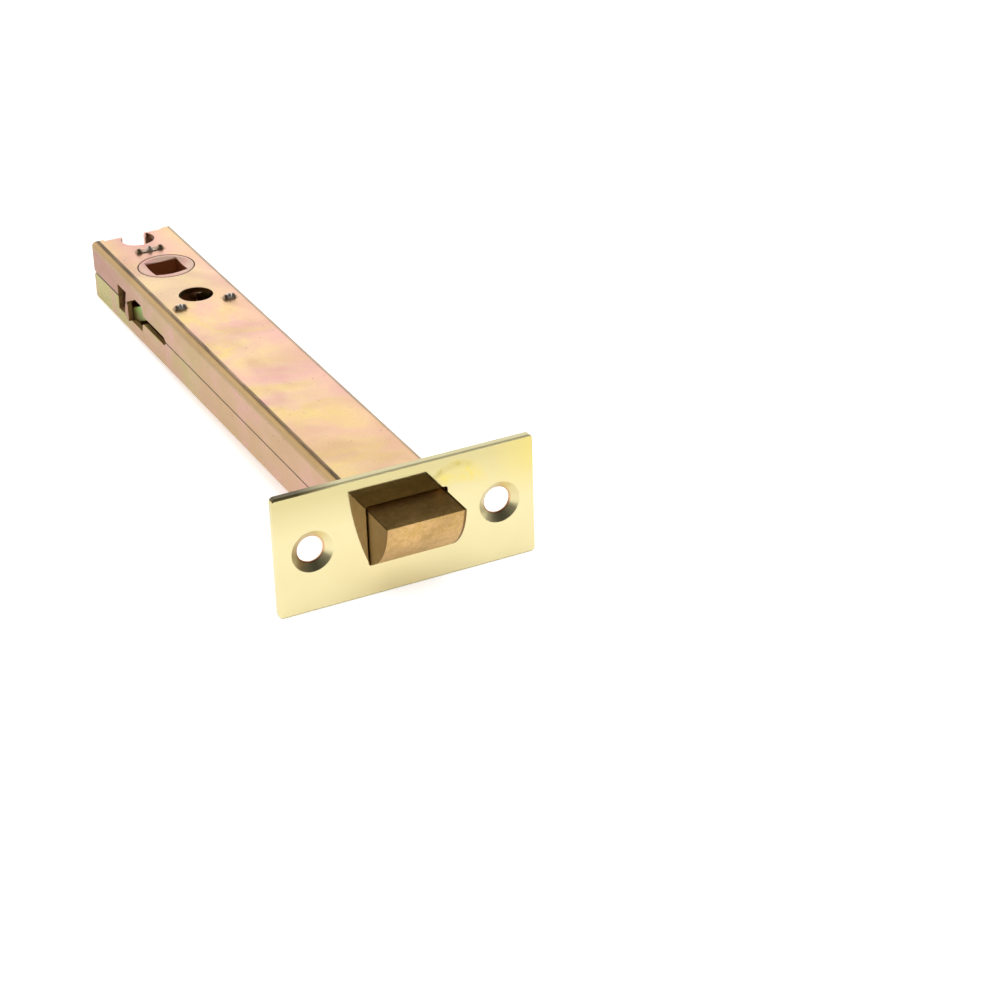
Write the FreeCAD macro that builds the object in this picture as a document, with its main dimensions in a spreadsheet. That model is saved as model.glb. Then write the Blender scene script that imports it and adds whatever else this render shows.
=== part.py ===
import FreeCAD, Part
import Sketcher
import math
import os

# A tubular door latch: a long two-piece pressed case behind a brass faceplate, a bevelled bolt,
# and a square-holed follower whose lugs pull the bolt back through a sprung yoke.
# Frame: origin at the centre of the faceplate's back face, +Y into the door, +Z along the spindle.

DIMENSIONS = {
    "plate_width": 57.4,
    "plate_height": 27.0,
    "plate_thick": 1.6,
    "plate_corner": 1.0,
    "plate_edge": 0.35,
    "screw_spacing": 41.5,
    "screw_hole": 5.7,
    "screw_head": 9.15,
    "screw_sink": 1.35,
    "window_side_gap": 0.3,
    "window_top_gap": 0.9,
    "window_floor_gap": 0.55,
    "window_corner": 0.5,
    "case_width": 20.4,
    "case_height": 14.7,
    "sheet": 1.2,
    "upper_bend": 1.4,
    "lower_bend": 0.7,
    "rear_bend": 1.8,
    "corner_bend": 0.9,
    "tab_inset": 1.5,
    "notch_mouth": 5.9,
    "seam_drop": 0.5,
    "seam_gap": 0.2,
    "seam_corner": 1.0,
    "flange": 4.0,
    "flange_corner": 1.5,
    "backset": 130.5,
    "fixing_centres": 19.0,
    "case_tail": 4.4,
    "fixing_hole": 8.0,
    "slide_gap": 0.15,
    "running_gap": 0.06,
    "spindle_square": 8.0,
    "square_sink": 0.42,
    "sink_reach": 1.75,
    "journal": 13.5,
    "journal_lead": 0.25,
    "hub_body": 12.8,
    "hub_flange": 15.2,
    "hub_flange_thick": 1.2,
    "lug_reach": 8.05,
    "lug_tip": 0.65,
    "lug_thick": 1.4,
    "lug_angle": 34.0,
    "lug_gap": 0.15,
    "bolt_side_gap": 0.25,
    "bolt_top_gap": 0.3,
    "bolt_floor_gap": 0.1,
    "bolt_throw": 9.3,
    "bolt_offset": 0.18,
    "bolt_inside": 18.0,
    "nose_radius": 15.9,
    "nose_land": 1.0,
    "rod_front": 4.6,
    "rod_rear": 3.6,
    "rod_socket": 10.0,
    "rod_tail": 17.7,
    "rod_gap": 0.15,
    "pin_outer": 2.5,
    "pin_wall": 0.5,
    "pin_slit": 0.5,
    "pin_setback": 5.0,
    "collar_outer": 7.6,
    "collar_thick": 1.6,
    "clip_outer": 5.4,
    "clip_thick": 0.8,
    "clip_groove": 3.0,
    "clip_mouth": 2.2,
    "fit_gap": 0.05,
    "bolt_spring_mean": 6.6,
    "bolt_spring_wire": 0.8,
    "bolt_spring_turns": 9.0,
    "return_spring_mean": 10.0,
    "return_spring_wire": 1.4,
    "return_spring_turns": 6.5,
    "coil_steps": 14.0,
    "wire_sides": 8.0,
    "yoke_sheet": 1.3,
    "yoke_bend": 1.2,
    "bridge_setback": 54.1,
    "bridge_height": 10.0,
    "arm_low": 0.6,
    "arm_high": 3.8,
    "crank_low": 1.3,
    "leg_length": 4.8,
    "shelf_inner": 6.6,
    "crank_rise": 2.15,
    "abutment_setback": 24.7,
    "abutment_thick": 1.9,
    "tenon_near": 4.3,
    "tenon_far": 7.8,
    "waist_gap": 0.25,
    "rear_setback": 10.9,
    "rear_tenon": 3.65,
    "rear_body": 6.0,
    "stake_rise": 0.2,
    "stake_inset": 0.04,
    "stake_height": 0.95,
    "stake_round": 0.88,
    "ridge_height": 1.15,
    "ridge_length": 0.75,
    "opening_rear": 6.9,
    "opening_top": 2.4,
    "opening_floor": 3.95,
    "opening_crest": 2.85,
    "crest_rear": 5.1,
    "crest_front": 8.9,
    "sill_front": 8.5,
    "tongue_front": 0.9,
    "tongue_top": 0.1,
    "tongue_back": 1.1,
    "tongue_lean": 0.325,
    "tongue_end": 4.75,
    "tongue_seat": 0.08,
    "slot_rear": 10.1,
    "slot_front": 24.4,
    "slot_end": 1.3,
    "slot_top": 0.5,
    "slot_floor": 1.65,
}

document = FreeCAD.newDocument("tubular_door_latch")
sheet = document.addObject("Spreadsheet::Sheet", "dims")
for row, (word, value) in enumerate(DIMENSIONS.items(), start=1):
    sheet.set(f"A{row}", word)
    sheet.set(f"B{row}", str(value))
    sheet.setAlias(f"B{row}", word)
document.recompute()


def rule(text):
    """Write a size rule with the sheet's words in full, so that an expression can read it."""
    names = sorted(DIMENSIONS, key=len, reverse=True)
    pieces = []
    word = ""
    for letter in text + " ":
        if letter.isalnum() or letter == "_":
            word += letter
            continue
        pieces.append("dims." + word if word in names else word)
        pieces.append(letter)
        word = ""
    return "".join(pieces).strip()


def number(text):
    """Work a size rule out as a plain number, from the sheet's present values."""
    probe = sheet.evalExpression(rule(text))
    return float(getattr(probe, "Value", probe))


# Places along the case that more than one piece uses.
TOP = "case_height / 2"
FLOOR = "(-case_height / 2)"
INNER_TOP = "(case_height / 2 - sheet)"
INNER_FLOOR = "(-case_height / 2 + sheet)"
INNER_SIDE = "(case_width / 2 - sheet)"
SEAM_UPPER = "(-seam_drop + seam_gap / 2)"
SEAM_LOWER = "(-seam_drop - seam_gap / 2)"
CASE_END = "(backset + fixing_centres + case_tail)"
BOLT_SIDE = "(case_width / 2 - sheet - bolt_side_gap)"
BOLT_TOP = "(case_height / 2 - sheet - bolt_top_gap)"
BOLT_BOTTOM = "(-case_height / 2 + sheet + bolt_floor_gap)"
ABUTMENT_FRONT = "(backset - abutment_setback - abutment_thick / 2)"
REAR_SPACER = "(backset + rear_setback)"
BRIDGE_FRONT = "(backset - bridge_setback)"
BRIDGE_REAR = "(backset - bridge_setback + yoke_sheet)"
COLLAR_REAR = "(backset - bridge_setback + yoke_sheet + collar_thick)"
ROD_END = "(backset - bridge_setback + yoke_sheet + rod_tail)"
LUG_FACE = "(lug_reach * sin(lug_angle * 1deg) - lug_tip)"
HOOK_FACE = f"(backset - {LUG_FACE} + lug_gap)"
LUG_TOP = "(-case_height / 2 + sheet + fit_gap + lug_thick)"
YOKE_SIDE = "(case_width / 2 - sheet - slide_gap)"
YOKE_FLOOR = "(-case_height / 2 + sheet + slide_gap / 2)"


def new_body(name):
    """Start one piece of the latch."""
    body = document.addObject("PartDesign::Body", name)
    body.Label = name
    return body


def plane_sketch(body, name, plane, offset):
    """Attach a sketch to one of the body's own planes, at a ruled distance along its normal."""
    origin_plane = [f for f in body.Origin.OriginFeatures if f.Role == plane][0]
    drawing = body.newObject("Sketcher::SketchObject", name)
    drawing.AttachmentSupport = [(origin_plane, "")]
    drawing.MapMode = "FlatFace"
    drawing.setExpression("AttachmentOffset.Base.z", rule(offset))
    return drawing


def draw_outline(drawing, corners, arc=None):
    """Draw a closed outline whose corners are ruled places; arc is (corner index, radius, centre)."""
    places = [FreeCAD.Vector(number(u), number(v), 0) for u, v in corners]
    count = len(places)
    for index in range(count):
        start = places[index]
        end = places[(index + 1) % count]
        if arc and arc[0] == index:
            centre = FreeCAD.Vector(number(arc[2][0]), number(arc[2][1]), 0)
            radius = number(arc[1])
            first = math.atan2(start.y - centre.y, start.x - centre.x)
            last = math.atan2(end.y - centre.y, end.x - centre.x)
            circle = Part.Circle(centre, FreeCAD.Vector(0, 0, 1), radius)
            drawing.addGeometry(Part.ArcOfCircle(circle, first, last), False)
        else:
            drawing.addGeometry(Part.LineSegment(start, end), False)
    for index in range(count):
        drawing.addConstraint(Sketcher.Constraint("Coincident", index, 2, (index + 1) % count, 1))
    for index, (u, v) in enumerate(corners):
        for kind, size in (("DistanceX", u), ("DistanceY", v)):
            held = Sketcher.Constraint(kind, -1, 1, index, 1, number(size))
            place = drawing.addConstraint(held)
            drawing.setExpression(f"Constraints[{place}]", rule(size))
    if arc:
        held = Sketcher.Constraint("Radius", arc[0], number(arc[1]))
        place = drawing.addConstraint(held)
        drawing.setExpression(f"Constraints[{place}]", rule(arc[1]))


def draw_circles(drawing, circles):
    """Draw circles given as ruled (u, v, radius)."""
    for index, (u, v, radius) in enumerate(circles):
        centre = FreeCAD.Vector(number(u), number(v), 0)
        ring = Part.Circle(centre, FreeCAD.Vector(0, 0, 1), number(radius))
        drawing.addGeometry(ring, False)
        for kind, size in (("DistanceX", u), ("DistanceY", v)):
            held = Sketcher.Constraint(kind, -1, 1, index, 3, number(size))
            place = drawing.addConstraint(held)
            drawing.setExpression(f"Constraints[{place}]", rule(size))
        held = Sketcher.Constraint("Radius", index, number(radius))
        place = drawing.addConstraint(held)
        drawing.setExpression(f"Constraints[{place}]", rule(radius))


def draw(drawing, shape):
    """Draw either an outline or a list of circles."""
    if shape[0] == "circles":
        draw_circles(drawing, shape[1])
    else:
        draw_outline(drawing, shape[1], shape[2] if len(shape) > 2 else None)


def pad(body, name, plane, low, high, shape):
    """Add material between two ruled places along the plane's axis."""
    start = f"-({high})" if plane == "XZ_Plane" else low
    drawing = plane_sketch(body, name + "_sketch", plane, start)
    draw(drawing, shape)
    feature = body.newObject("PartDesign::Pad", name)
    feature.Profile = drawing
    feature.setExpression("Length", rule(f"({high}) - ({low})"))
    document.recompute()
    return feature


def pocket(body, name, plane, low, high, shape):
    """Take material away between two ruled places along the plane's axis."""
    start = f"-({low})" if plane == "XZ_Plane" else high
    drawing = plane_sketch(body, name + "_sketch", plane, start)
    draw(drawing, shape)
    before = body.Shape.Volume
    feature = body.newObject("PartDesign::Pocket", name)
    feature.Profile = drawing
    feature.setExpression("Length", rule(f"({high}) - ({low})"))
    document.recompute()
    if not body.Shape.Volume < before - 1e-6:
        raise RuntimeError(f"{name} takes nothing away")
    return feature


def cone_sink(body, name, plane, low_radius, high_radius, height, place):
    """Conical sink along a plane's normal, with its low end at a ruled place on the plane's own axes."""
    sink = body.newObject("PartDesign::SubtractiveCone", name)
    sink.AttachmentSupport = [([f for f in body.Origin.OriginFeatures if f.Role == plane][0], "")]
    sink.MapMode = "FlatFace"
    sink.setExpression("Radius1", rule(low_radius))
    sink.setExpression("Radius2", rule(high_radius))
    sink.setExpression("Height", rule(height))
    for axis, distance in zip("xyz", place):
        sink.setExpression(f"AttachmentOffset.Base.{axis}", rule(distance))
    document.recompute()


def box_outline(left, right, bottom, top):
    """Four ruled corners of an upright rectangle."""
    return ("outline", [(left, bottom), (right, bottom), (right, top), (left, top)])


def edges_where(shape, test):
    """Names of the edges whose middle point and direction pass a test."""
    names = []
    for index, edge in enumerate(shape.Edges, start=1):
        box = edge.BoundBox
        if test(edge, box):
            names.append(f"Edge{index}")
    if not names:
        raise RuntimeError("no edge passes the test")
    return names


def dress(body, kind, name, size, test):
    """Round or chamfer the edges of the body that pass a test."""
    base = body.Tip
    feature = body.newObject("PartDesign::" + kind, name)
    feature.Base = (base, edges_where(base.Shape, test))
    feature.setExpression("Radius" if kind == "Fillet" else "Size", rule(size))
    document.recompute()
    return feature


def near(a, b):
    """Two places that are the same, to a hundredth of a millimetre."""
    return abs(a - b) < 0.01


def flat_at(box, axis, place):
    """The edge lies wholly at one place along an axis."""
    low = getattr(box, axis + "Min")
    high = getattr(box, axis + "Max")
    return near(low, place) and near(high, place)


def build_faceplate():
    """Flat brass plate with a window for the bolt and two countersunk screw holes."""
    body = new_body("faceplate")
    half_width = "plate_width / 2"
    half_height = "plate_height / 2"
    outline = box_outline(f"-{half_width}", half_width, f"-{half_height}", half_height)
    pad(body, "plate_blank", "XZ_Plane", "-plate_thick", "0", outline)
    corner = number(half_width)
    dress(body, "Fillet", "plate_corners", "plate_corner",
          lambda edge, box: near(abs(box.XMin), corner) and near(box.XMin, box.XMax) and box.YLength > 1)
    front = number("-plate_thick")
    dress(body, "Fillet", "plate_front_edge", "plate_edge", lambda edge, box: flat_at(box, "Y", front))
    window_side = f"({BOLT_SIDE} + window_side_gap)"
    window = box_outline(
        f"bolt_offset - {window_side}", f"bolt_offset + {window_side}",
        f"{BOLT_BOTTOM} - window_floor_gap", f"{BOLT_TOP} + window_top_gap",
    )
    pocket(body, "bolt_window", "XZ_Plane", "-plate_thick", "0", window)
    side = number(f"bolt_offset + {window_side}")
    other = number(f"bolt_offset - {window_side}")
    dress(body, "Fillet", "window_corners", "window_corner",
          lambda edge, box: box.YLength > 1 and box.XLength < 0.01
          and (near(box.XMin, side) or near(box.XMin, other)))
    holes = [(f"{sign}screw_spacing / 2", "0", "screw_hole / 2") for sign in ("-", "")]
    pocket(body, "screw_holes", "XZ_Plane", "-plate_thick", "0", ("circles", holes))
    for count, (across, up, radius) in enumerate(holes, start=1):
        cone_sink(body, f"countersink_{count}", "XZ_Plane", radius, "screw_head / 2", "screw_sink",
                  (across, up, "plate_thick - screw_sink"))
    return body


def tongue_rear(height):
    """Ruled place of the tongue's leaning rear edge at one height."""
    return f"(backset + tongue_back + (opening_top - ({height})) * tongue_lean)"


def side_openings(body, half):
    """Openings in both side walls: the follower's windows, the tongue between them and the yoke's slot."""
    side = "case_width / 2"
    seam = SEAM_UPPER if half == "upper" else SEAM_LOWER
    rear = "backset + opening_rear"
    slot_tip = [("backset - slot_front + slot_end", "slot_top"), ("backset - slot_front", seam)]
    if half == "upper":
        rear_window = [
            (rear, seam), (rear, "opening_top"),
            ("backset + tongue_back", "opening_top"), (tongue_rear(seam), seam),
        ]
        pocket(body, "rear_window", "YZ_Plane", f"-{side}", side, ("outline", rear_window))
        front_window = [
            ("backset + tongue_front", seam), ("backset + tongue_front", "tongue_top"),
            ("backset - crest_rear", "opening_crest"), ("backset - crest_front", "opening_crest"),
            ("backset - slot_rear", "slot_top"),
        ] + slot_tip
        pocket(body, "front_window", "YZ_Plane", f"-{side}", side, ("outline", front_window))
        root = f"({seam} + seam_gap)"
        tongue = [
            ("backset + tongue_front", root), ("backset + tongue_front", "-tongue_end"),
            (tongue_rear("-opening_floor - tongue_seat"), "-opening_floor - tongue_seat"),
            (tongue_rear(root), root),
        ]
        pad(body, "left_tongue", "YZ_Plane", f"-{side}", f"-{INNER_SIDE}", ("outline", tongue))
        pad(body, "right_tongue", "YZ_Plane", INNER_SIDE, side, ("outline", tongue))
        return
    windows = [
        (rear, seam), (f"{rear} + 0.3", "-opening_floor"),
        (tongue_rear("-opening_floor") + " + tongue_seat", "-opening_floor"),
        (tongue_rear("-opening_floor") + " + tongue_seat", "-opening_floor - 2 * tongue_seat"),
        ("backset + tongue_front - tongue_seat", "-tongue_end - tongue_seat * 1.5"),
        ("backset - 1.5", "-opening_floor"), ("backset - sill_front", "-opening_floor"),
        ("backset - sill_front - 0.6", "-slot_floor - 0.35"), ("backset - slot_rear + 0.3", "-slot_floor"),
        ("backset - slot_front + slot_end", "-slot_floor"), ("backset - slot_front", seam),
    ]
    pocket(body, "side_windows", "YZ_Plane", f"-{side}", side, ("outline", windows))


def fold_outline(bend, upper):
    """Ruled outline of what a rounded fold takes off the rear edge of one half, seen from the side."""
    sign = "" if upper else "-"
    bend_start = f"({CASE_END} - {bend})"
    level = f"{sign}({TOP} - {bend})"
    on_skin = (bend_start, f"{sign}{TOP}")
    on_end = (CASE_END, level)
    beyond = [(f"({CASE_END} + 1)", level), (f"({CASE_END} + 1)", f"{sign}({TOP} + 1)")]
    above = (bend_start, f"{sign}({TOP} + 1)")
    centre = (bend_start, level)
    if upper:
        return ("outline", [on_end, on_skin, above] + beyond[::-1], (0, bend, centre))
    return ("outline", [on_skin, on_end] + beyond + [above], (0, bend, centre))


def build_case_half(half):
    """Pressed steel channel with a welding flange in front, a notched end wall and its holes."""
    upper = half == "upper"
    body = new_body("case_" + half)
    side = "case_width / 2"
    seam = SEAM_UPPER if upper else SEAM_LOWER
    skin = TOP if upper else FLOOR
    inner = INNER_TOP if upper else INNER_FLOOR
    lip = f"{skin} + flange" if upper else f"{skin} - flange"
    low, high = (seam, skin) if upper else (skin, seam)
    pad(body, "channel_blank", "XZ_Plane", "0", CASE_END, box_outline(f"-{side}", side, low, high))
    skin_height = number(skin)
    rear_place = number(CASE_END)
    dress(body, "Fillet", "long_folds", "upper_bend" if upper else "lower_bend",
          lambda edge, box: flat_at(box, "Z", skin_height) and box.YLength > 100)
    in_low, in_high = (seam, inner) if upper else (inner, seam)
    pocket(body, "channel_inside", "XZ_Plane", "0", f"{CASE_END} - sheet",
           box_outline(f"-{INNER_SIDE}", INNER_SIDE, in_low, in_high))
    lip_low, lip_high = (inner, lip) if upper else (lip, inner)
    pad(body, "weld_flange", "XZ_Plane", "0", "sheet", box_outline(f"-{side}", side, lip_low, lip_high))
    lip_height = number(lip)
    dress(body, "Fillet", "flange_corners", "flange_corner",
          lambda edge, box: flat_at(box, "Z", lip_height) and box.YLength > 1 and box.XLength < 0.01)
    tab_side = f"({INNER_SIDE} - tab_inset)"
    pocket(body, "corner_folds", "YZ_Plane", f"-{side}", side, fold_outline("corner_bend", upper))
    pocket(body, "tab_fold", "YZ_Plane", f"-{tab_side}", tab_side, fold_outline("rear_bend", upper))
    pocket(body, "notch_mouth", "XY_Plane", low, high,
           box_outline("-notch_mouth / 2", "notch_mouth / 2", "backset + fixing_centres", CASE_END))
    holes = [
        ("0", "backset", "journal / 2 + running_gap"),
        ("0", "backset - fixing_centres", "fixing_hole / 2"),
    ]
    pocket(body, "round_holes", "XY_Plane", low, high, ("circles", holes))
    pocket(body, "notch_end", "XY_Plane", low, high,
           ("circles", [("0", "backset + fixing_centres", "fixing_hole / 2")]))
    half_slot = "(abutment_thick / 2 + fit_gap)"
    for name, sign in (("left", "-"), ("right", "")):
        near_side = f"{sign}(tenon_near - fit_gap)"
        far_side = f"{sign}(tenon_far + fit_gap)"
        left, right = (far_side, near_side) if sign else (near_side, far_side)
        pocket(body, name + "_tenon_slot", "XY_Plane", low, high,
               box_outline(left, right, f"backset - abutment_setback - {half_slot}",
                           f"backset - abutment_setback + {half_slot}"))
    pocket(body, "rear_tenon_slot", "XY_Plane", low, high,
           box_outline("-rear_tenon - fit_gap", "rear_tenon + fit_gap",
                       f"{REAR_SPACER} - {half_slot}", f"{REAR_SPACER} + {half_slot}"))
    side_openings(body, half)
    seam_height = number(seam)
    outer = number(side)
    dress(body, "Fillet", "seam_corners", "seam_corner",
          lambda edge, box: flat_at(box, "Z", seam_height) and flat_at(box, "Y", rear_place)
          and near(max(abs(box.XMin), abs(box.XMax)), outer))
    return body


def swelling(body, name, radii, place):
    """Rounded swelling on a body; radii are height, length and width, and place is x, y and z."""
    plane = [f for f in body.Origin.OriginFeatures if f.Role == "XY_Plane"][0]
    mark = body.newObject("PartDesign::AdditiveEllipsoid", name)
    mark.AttachmentSupport = [(plane, "")]
    mark.MapMode = "FlatFace"
    for count, radius in enumerate(radii, start=1):
        mark.setExpression(f"Radius{count}", rule(radius))
    for axis, distance in zip("xyz", place):
        mark.setExpression(f"AttachmentOffset.Base.{axis}", rule(distance))
    document.recompute()


def stake_marks(body, centres, place, half_length):
    """Crowns that the punch leaves on each tenon, above and below the case: two swollen ends and a ridge."""
    half_width = "(abutment_thick / 2 - stake_inset)"
    span = f"({half_length} - abutment_thick / 2)"
    for tenon, centre in enumerate(centres, start=1):
        left = f"({centre} - {span})"
        right = f"({centre} + {span})"
        for side, low, high, face in (("top", TOP, f"{TOP} + stake_rise", TOP),
                                      ("floor", f"{FLOOR} - stake_rise", FLOOR, FLOOR)):
            name = f"{side}_{tenon}"
            pad(body, "bar_" + name, "XY_Plane", low, high,
                box_outline(left, right, f"{place} - {half_width}", f"{place} + {half_width}"))
            pad(body, "ends_" + name, "XY_Plane", low, high,
                ("circles", [(left, place, half_width), (right, place, half_width)]))
            ends = ("stake_height", "stake_round", "stake_round")
            swelling(body, "left_" + name, ends, (left, place, face))
            swelling(body, "right_" + name, ends, (right, place, face))
            ridge = ("ridge_height", "ridge_length", "stake_round")
            swelling(body, "ridge_" + name, ridge, (centre, place, face))


def build_abutment_plate():
    """Fixed cross plate that both springs push against, staked through both halves of the case."""
    body = new_body("abutment_plate")
    edge = f"({INNER_SIDE} - fit_gap)"
    front = ABUTMENT_FRONT
    back = f"{ABUTMENT_FRONT} + abutment_thick"
    pad(body, "cross_plate", "XZ_Plane", front, back, box_outline(f"-{edge}", edge, INNER_FLOOR, INNER_TOP))
    for name, sign in (("left", "-"), ("right", "")):
        left, right = (f"{sign}tenon_far", f"{sign}tenon_near")
        if not sign:
            left, right = right, left
        pad(body, name + "_tenons", "XZ_Plane", front, back,
            box_outline(left, right, FLOOR, TOP))
    for name, sign in (("left", "-"), ("right", "")):
        left, right = (f"{sign}{edge}", f"{sign}({YOKE_SIDE} - yoke_sheet - waist_gap)")
        if not sign:
            left, right = right, left
        pocket(body, name + "_arm_notch", "XZ_Plane", front, back,
               box_outline(left, right, "arm_low - slide_gap", "arm_high + slide_gap"))
    pocket(body, "rod_hole", "XZ_Plane", front, back, ("circles", [("0", "0", "rod_rear / 2 + rod_gap")]))
    middle = "(tenon_near + tenon_far) / 2"
    stake_marks(body, [f"-{middle}", middle], "(backset - abutment_setback)", "(tenon_far - tenon_near) / 2")
    return body


def build_rear_spacer():
    """Cross plate behind the follower that keeps the two halves apart."""
    body = new_body("rear_spacer")
    front = f"{REAR_SPACER} - abutment_thick / 2"
    back = f"{REAR_SPACER} + abutment_thick / 2"
    pad(body, "spacer_plate", "XZ_Plane", front, back,
        box_outline("-rear_body", "rear_body", INNER_FLOOR, INNER_TOP))
    pad(body, "rear_tenons", "XZ_Plane", front, back,
        box_outline("-rear_tenon", "rear_tenon", FLOOR, TOP))
    stake_marks(body, ["0"], REAR_SPACER, "rear_tenon")
    return body


def build_latch_bolt():
    """Sintered bolt with one curved striking face, bored behind for the tail rod and its pin."""
    body = new_body("latch_bolt")
    left = f"bolt_offset - {BOLT_SIDE}"
    right = f"bolt_offset + {BOLT_SIDE}"
    tip = "(-plate_thick - bolt_throw)"
    land = "(-plate_thick - nose_land)"
    pad(body, "bolt_blank", "YZ_Plane", left, right, box_outline(tip, "bolt_inside", BOLT_BOTTOM, BOLT_TOP))
    start = (number(tip), number(BOLT_TOP))
    end = (number(land), number(BOLT_BOTTOM))
    reach = math.dist(start, end) / 2
    rise = math.sqrt(number("nose_radius") ** 2 - reach ** 2)
    slope = ((end[0] - start[0]) / (2 * reach), (end[1] - start[1]) / (2 * reach))
    centre = (
        str((start[0] + end[0]) / 2 - slope[1] * rise),
        str((start[1] + end[1]) / 2 + slope[0] * rise),
    )
    corners = [
        (tip, BOLT_TOP), (land, BOLT_BOTTOM), (land, f"{BOLT_BOTTOM} - 1"),
        (f"{tip} - 1", f"{BOLT_BOTTOM} - 1"), (f"{tip} - 1", BOLT_TOP),
    ]
    pocket(body, "curved_nose", "YZ_Plane", left, right, ("outline", corners, (0, "nose_radius", centre)))
    pocket(body, "rod_socket", "XZ_Plane", "bolt_inside - rod_socket", "bolt_inside",
           ("circles", [("0", "0", "rod_front / 2 + fit_gap")]))
    pocket(body, "pin_bore", "XY_Plane", BOLT_BOTTOM, BOLT_TOP,
           ("circles", [("0", "bolt_inside - pin_setback", "pin_outer / 2")]))
    return body


def build_tail_rod():
    """Turned rod from the bolt to the springs, with a shoulder for the collar and a clip groove."""
    body = new_body("tail_rod")
    front = "bolt_inside - rod_socket"
    drawing = plane_sketch(body, "rod_profile", "XY_Plane", "0")
    groove_front = COLLAR_REAR
    groove_rear = f"{COLLAR_REAR} + clip_thick + fit_gap"
    corners = [
        ("0", front), ("rod_front / 2", front), ("rod_front / 2", BRIDGE_REAR), ("rod_rear / 2", BRIDGE_REAR),
        ("rod_rear / 2", groove_front), ("clip_groove / 2", groove_front), ("clip_groove / 2", groove_rear),
        ("rod_rear / 2", groove_rear), ("rod_rear / 2", f"{ROD_END} - 0.5"),
        ("rod_rear / 2 - 0.5", ROD_END), ("0", ROD_END),
    ]
    draw_outline(drawing, corners)
    turned = body.newObject("PartDesign::Revolution", "turned_rod")
    turned.Profile = drawing
    turned.ReferenceAxis = (drawing, ["V_Axis"])
    turned.Angle = 360
    document.recompute()
    pocket(body, "pin_hole", "XY_Plane", "-rod_front / 2", "rod_front / 2",
           ("circles", [("0", "bolt_inside - pin_setback", "pin_outer / 2")]))
    return body


def build_tail_pin():
    """Rolled spring pin that locks the rod in the bolt."""
    body = new_body("tail_pin")
    centre = "bolt_inside - pin_setback"
    low = f"{BOLT_BOTTOM} + 0.3"
    high = f"{BOLT_TOP} - 0.3"
    pad(body, "pin_blank", "XY_Plane", low, high, ("circles", [("0", centre, "pin_outer / 2")]))
    pocket(body, "pin_bore", "XY_Plane", low, high, ("circles", [("0", centre, "pin_outer / 2 - pin_wall")]))
    pocket(body, "pin_slit", "XY_Plane", low, high,
           box_outline("-pin_slit / 2", "pin_slit / 2", centre, f"{centre} + pin_outer"))
    return body


def build_collar():
    """Loose washer on the rod's shoulder, which the yoke pulls and the bolt spring pushes."""
    body = new_body("spring_collar")
    pad(body, "collar_blank", "XZ_Plane", BRIDGE_REAR, COLLAR_REAR, ("circles", [("0", "0", "collar_outer / 2")]))
    pocket(body, "collar_bore", "XZ_Plane", BRIDGE_REAR, COLLAR_REAR,
           ("circles", [("0", "0", "rod_rear / 2 + fit_gap")]))
    return body


def build_clip():
    """Open retaining clip in the rod's groove, behind the collar."""
    body = new_body("collar_clip")
    back = f"{COLLAR_REAR} + clip_thick"
    pad(body, "clip_blank", "XZ_Plane", COLLAR_REAR, back, ("circles", [("0", "0", "clip_outer / 2")]))
    pocket(body, "clip_bore", "XZ_Plane", COLLAR_REAR, back,
           ("circles", [("0", "0", "clip_groove / 2 + fit_gap")]))
    pocket(body, "clip_mouth", "XZ_Plane", COLLAR_REAR, back,
           box_outline("-clip_mouth / 2", "clip_mouth / 2", "-clip_outer", "0"))
    return body


def build_spring(name, front, mean, wire, turns):
    """Compression spring between a moving seat and the abutment plate, coiled in short straight steps."""
    spring = document.addObject("Part::Feature", name)
    spring.Label = name
    start = number(front)
    thick = number(wire)
    radius = number(mean) / 2
    length = number(ABUTMENT_FRONT) - start - thick
    helix = Part.makeHelix(length / number(turns), length, radius)
    steps = int(number(turns) * number("coil_steps"))
    path = Part.makePolygon(helix.discretize(Number=steps + 1))
    sides = int(number("wire_sides"))
    ring = []
    for corner in range(sides + 1):
        angle = 2 * math.pi * (corner % sides) / sides
        ring.append(FreeCAD.Vector(radius + thick / 2 * math.cos(angle), 0, thick / 2 * math.sin(angle)))
    spring.Shape = path.makePipeShell([Part.makePolygon(ring)], True, False, 1)
    along = FreeCAD.Rotation(FreeCAD.Vector(1, 0, 0), -90)
    spring.Placement = FreeCAD.Placement(FreeCAD.Vector(0, start + thick / 2, 0), along)
    return spring


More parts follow.
